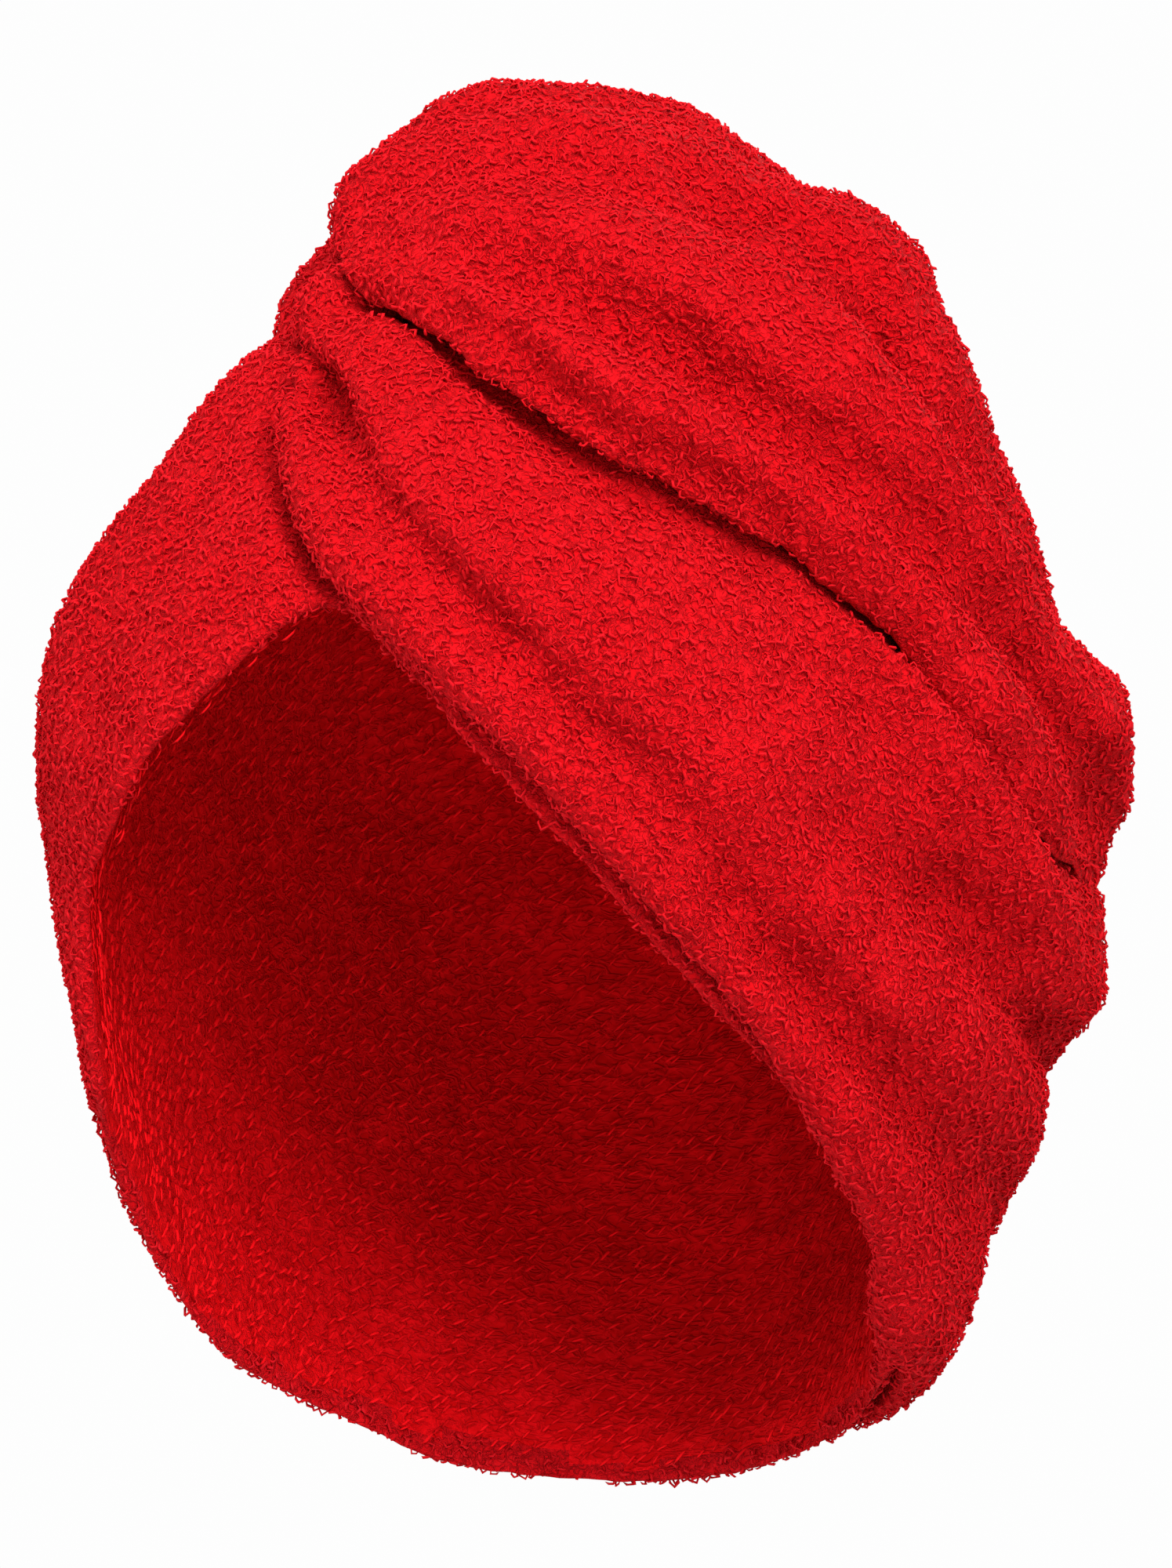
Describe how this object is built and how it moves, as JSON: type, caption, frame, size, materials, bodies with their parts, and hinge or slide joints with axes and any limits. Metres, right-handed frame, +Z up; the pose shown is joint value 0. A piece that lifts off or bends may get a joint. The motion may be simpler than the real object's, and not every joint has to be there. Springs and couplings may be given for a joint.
{
  "type": "hair turban towel",
  "caption": "Hair turban towel in its worn form: a terry hood with the hem crossed over the forehead and a twisted tail laid back over the crown to a button at the nape",
  "frame": {"origin": "centre of the head hollow at its widest level", "axes": "the wearer's face looks along -Y, the wearer's left is +X, up is +Z"},
  "size_m": [0.2066, 0.2261, 0.2701],
  "materials": {
    "terry": "looped cotton terry, dyed red, matt",
    "clasp": "dyed button with a round elastic loop, matt"
  },
  "bodies": {
    "root": {"hood": "terry", "side_fold": "terry", "tail": "terry", "clasp": "clasp"}
  },
  "joints": []
}
